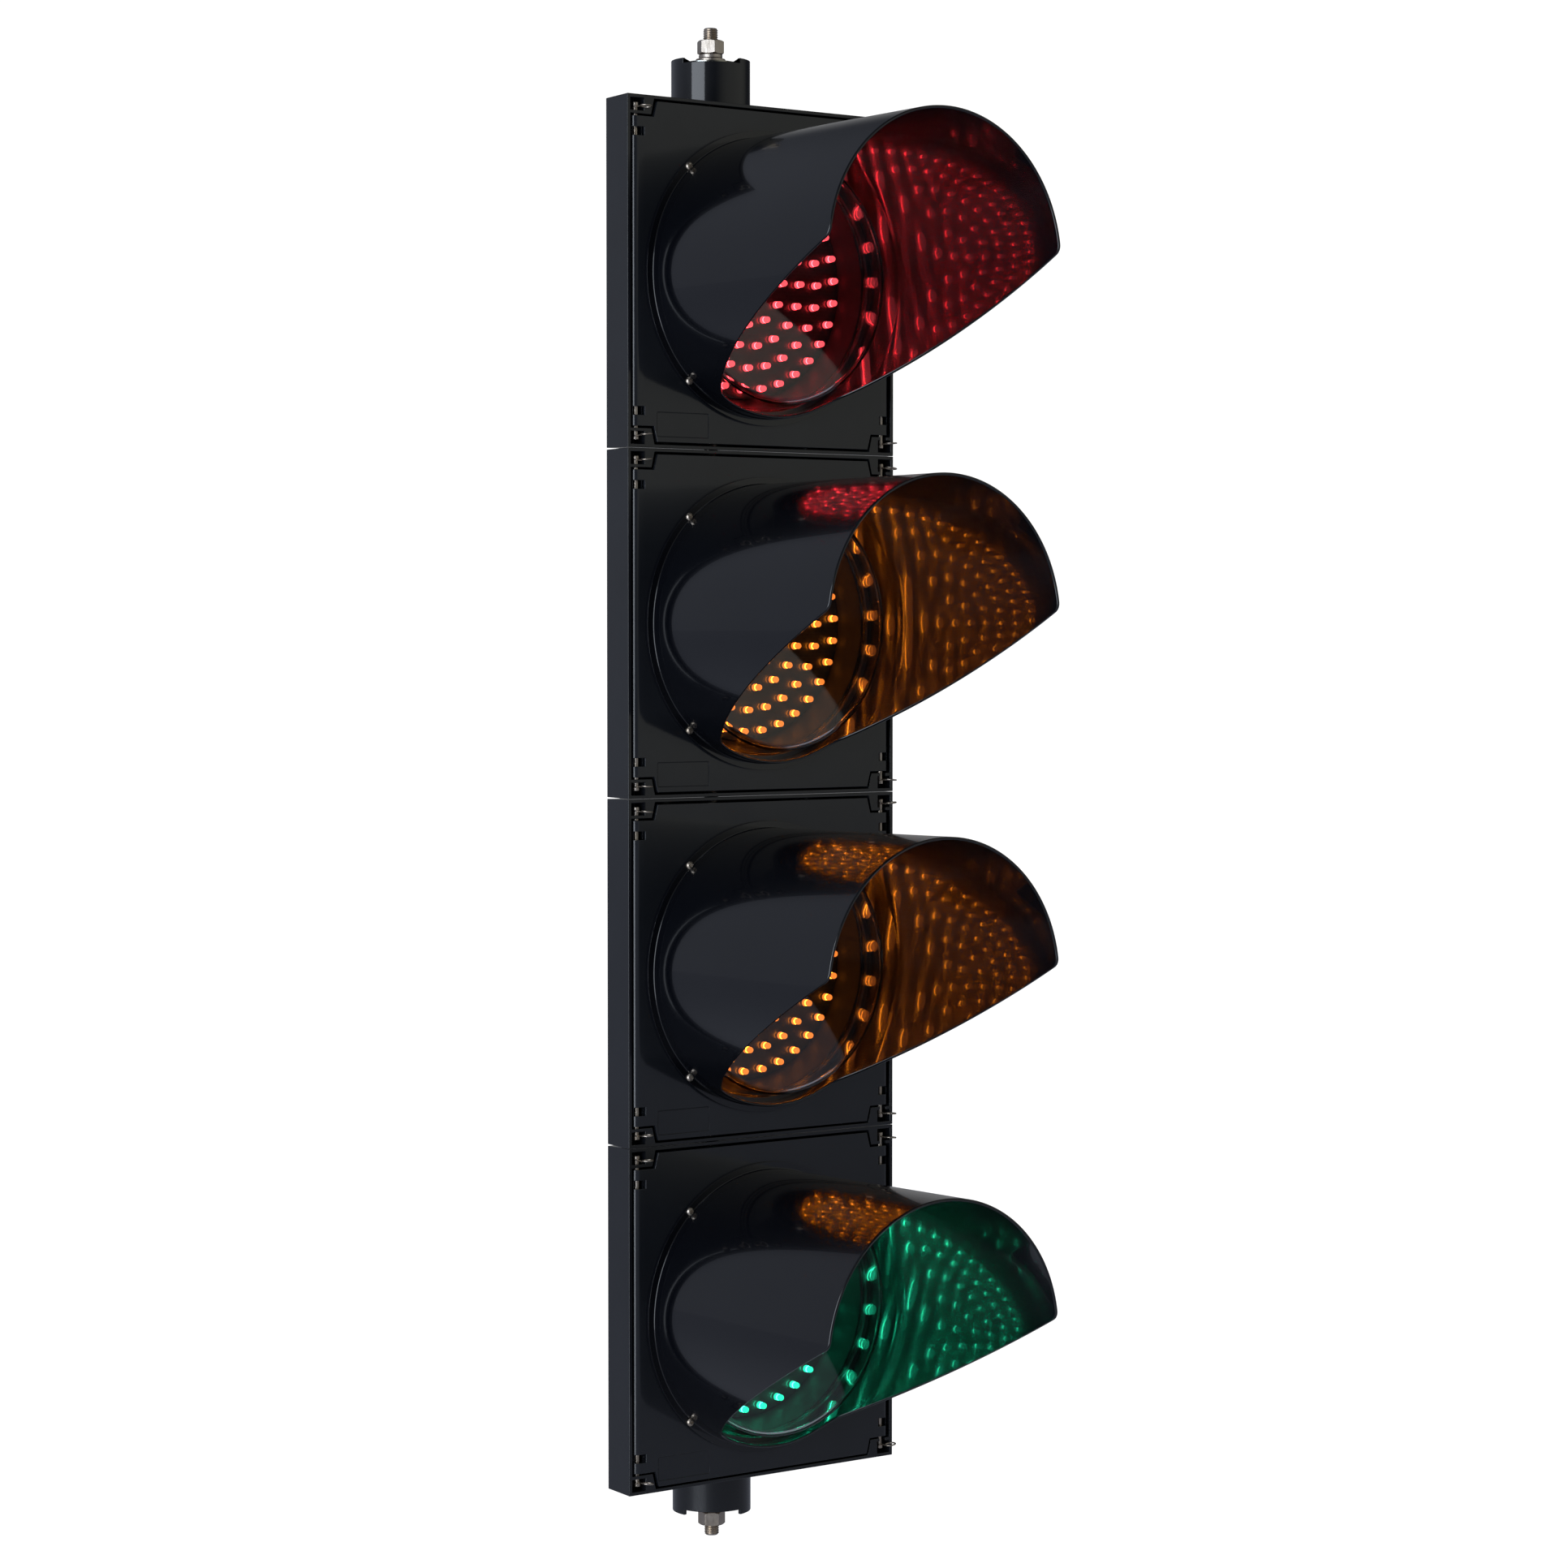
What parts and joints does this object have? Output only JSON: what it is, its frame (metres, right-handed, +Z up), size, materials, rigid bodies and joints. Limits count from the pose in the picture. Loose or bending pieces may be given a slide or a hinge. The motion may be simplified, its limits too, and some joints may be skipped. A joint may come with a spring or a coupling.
{
  "type": "traffic signal head",
  "caption": "Vertical multi-aspect LED traffic signal head in black plastic: stacked housings on a tie rod, hinged doors with long cut-away visors, lamp units and ring clips.",
  "frame": {"origin": "centre of the lower end face of the M12 tie rod", "axes": "+Z up along the tie rod; -Y the way the lamps face; +X to the right for someone facing the lamps"},
  "size_m": [0.26, 0.334, 1.209],
  "materials": {
    "housing_plastic": "satin moulded black polycarbonate",
    "door_plastic": "satin moulded black polycarbonate",
    "visor_plastic": "glossy black polycarbonate",
    "lens_clear": "clear polycarbonate, lightly smoked",
    "circuit_board": "black solder resist",
    "lamp_shell_plastic": "matt black moulded plastic",
    "stainless": "stainless steel, bright",
    "zinc_plate": "zinc plated steel",
    "terminal_plastic": "grey terminal moulding",
    "led_red": "lit red LED dome, emissive",
    "led_amber": "lit amber LED dome, emissive",
    "led_green": "lit green LED dome, emissive",
    "gasket_rubber": "black cellular rubber"
  },
  "bodies": {
    "root": {"tie_rod": "stainless", "clamp_nut_top": "stainless", "spring_washer_top": "stainless", "flat_washer_top": "stainless", "spigot_disc_top": "zinc_plate", "clamp_nut_bottom": "stainless", "spring_washer_bottom": "stainless", "flat_washer_bottom": "stainless", "spigot_disc_bottom": "zinc_plate", "terminal_block": "terminal_plastic", "housing_1": "housing_plastic", "hinge_rod_1": "stainless", "housing_2": "housing_plastic", "hinge_rod_2": "stainless", "housing_3": "housing_plastic", "hinge_rod_3": "stainless", "housing_4": "housing_plastic", "hinge_rod_4": "stainless"},
    "door_1": {"door_1": "door_plastic", "visor_1": "visor_plastic", "lens_1": "lens_clear", "led_board_1": "circuit_board", "lamp_shell_1": "lamp_shell_plastic", "latch_rod_1": "stainless"},
    "hinge_clip_1_top": {"hinge_clip_1_top": "stainless"},
    "hinge_clip_1_bottom": {"hinge_clip_1_bottom": "stainless"},
    "latch_clip_1_top": {"latch_clip_1_top": "stainless"},
    "latch_clip_1_bottom": {"latch_clip_1_bottom": "stainless"},
    "door_2": {"door_2": "door_plastic", "visor_2": "visor_plastic", "lens_2": "lens_clear", "led_board_2": "circuit_board", "lamp_shell_2": "lamp_shell_plastic", "latch_rod_2": "stainless"},
    "hinge_clip_2_top": {"hinge_clip_2_top": "stainless"},
    "hinge_clip_2_bottom": {"hinge_clip_2_bottom": "stainless"},
    "latch_clip_2_top": {"latch_clip_2_top": "stainless"},
    "latch_clip_2_bottom": {"latch_clip_2_bottom": "stainless"},
    "door_3": {"door_3": "door_plastic", "visor_3": "visor_plastic", "lens_3": "lens_clear", "led_board_3": "circuit_board", "lamp_shell_3": "lamp_shell_plastic", "latch_rod_3": "stainless"},
    "hinge_clip_3_top": {"hinge_clip_3_top": "stainless"},
    "hinge_clip_3_bottom": {"hinge_clip_3_bottom": "stainless"},
    "latch_clip_3_top": {"latch_clip_3_top": "stainless"},
    "latch_clip_3_bottom": {"latch_clip_3_bottom": "stainless"},
    "door_4": {"door_4": "door_plastic", "visor_4": "visor_plastic", "lens_4": "lens_clear", "led_board_4": "circuit_board", "lamp_shell_4": "lamp_shell_plastic", "latch_rod_4": "stainless"},
    "hinge_clip_4_top": {"hinge_clip_4_top": "stainless"},
    "hinge_clip_4_bottom": {"hinge_clip_4_bottom": "stainless"},
    "latch_clip_4_top": {"latch_clip_4_top": "stainless"},
    "latch_clip_4_bottom": {"latch_clip_4_bottom": "stainless"}
  },
  "joints": [
    {"name": "door_1_hinge", "type": "hinge", "parent": "root", "child": "door_1", "pos_m": [-0.12, -0.0665, 1.005], "axis": [0, 0, -1], "range_deg": [0, 90]},
    {"name": "hinge_clip_1_top_pull", "type": "slide", "parent": "root", "child": "hinge_clip_1_top", "axis": [0, -1, 0], "range_m": [0, 0.01]},
    {"name": "hinge_clip_1_bottom_pull", "type": "slide", "parent": "root", "child": "hinge_clip_1_bottom", "axis": [0, -1, 0], "range_m": [0, 0.01]},
    {"name": "latch_clip_1_top_pull", "type": "slide", "parent": "door_1", "child": "latch_clip_1_top", "axis": [0, -1, 0], "range_m": [0, 0.01]},
    {"name": "latch_clip_1_bottom_pull", "type": "slide", "parent": "door_1", "child": "latch_clip_1_bottom", "axis": [0, -1, 0], "range_m": [0, 0.01]},
    {"name": "door_2_hinge", "type": "hinge", "parent": "root", "child": "door_2", "pos_m": [-0.12, -0.0665, 0.735], "axis": [0, 0, -1], "range_deg": [0, 90]},
    {"name": "hinge_clip_2_top_pull", "type": "slide", "parent": "root", "child": "hinge_clip_2_top", "axis": [0, -1, 0], "range_m": [0, 0.01]},
    {"name": "hinge_clip_2_bottom_pull", "type": "slide", "parent": "root", "child": "hinge_clip_2_bottom", "axis": [0, -1, 0], "range_m": [0, 0.01]},
    {"name": "latch_clip_2_top_pull", "type": "slide", "parent": "door_2", "child": "latch_clip_2_top", "axis": [0, -1, 0], "range_m": [0, 0.01]},
    {"name": "latch_clip_2_bottom_pull", "type": "slide", "parent": "door_2", "child": "latch_clip_2_bottom", "axis": [0, -1, 0], "range_m": [0, 0.01]},
    {"name": "door_3_hinge", "type": "hinge", "parent": "root", "child": "door_3", "pos_m": [-0.12, -0.0665, 0.465], "axis": [0, 0, -1], "range_deg": [0, 90]},
    {"name": "hinge_clip_3_top_pull", "type": "slide", "parent": "root", "child": "hinge_clip_3_top", "axis": [0, -1, 0], "range_m": [0, 0.01]},
    {"name": "hinge_clip_3_bottom_pull", "type": "slide", "parent": "root", "child": "hinge_clip_3_bottom", "axis": [0, -1, 0], "range_m": [0, 0.01]},
    {"name": "latch_clip_3_top_pull", "type": "slide", "parent": "door_3", "child": "latch_clip_3_top", "axis": [0, -1, 0], "range_m": [0, 0.01]},
    {"name": "latch_clip_3_bottom_pull", "type": "slide", "parent": "door_3", "child": "latch_clip_3_bottom", "axis": [0, -1, 0], "range_m": [0, 0.01]},
    {"name": "door_4_hinge", "type": "hinge", "parent": "root", "child": "door_4", "pos_m": [-0.12, -0.0665, 0.195], "axis": [0, 0, -1], "range_deg": [0, 90]},
    {"name": "hinge_clip_4_top_pull", "type": "slide", "parent": "root", "child": "hinge_clip_4_top", "axis": [0, -1, 0], "range_m": [0, 0.01]},
    {"name": "hinge_clip_4_bottom_pull", "type": "slide", "parent": "root", "child": "hinge_clip_4_bottom", "axis": [0, -1, 0], "range_m": [0, 0.01]},
    {"name": "latch_clip_4_top_pull", "type": "slide", "parent": "door_4", "child": "latch_clip_4_top", "axis": [0, -1, 0], "range_m": [0, 0.01]},
    {"name": "latch_clip_4_bottom_pull", "type": "slide", "parent": "door_4", "child": "latch_clip_4_bottom", "axis": [0, -1, 0], "range_m": [0, 0.01]}
  ]
}
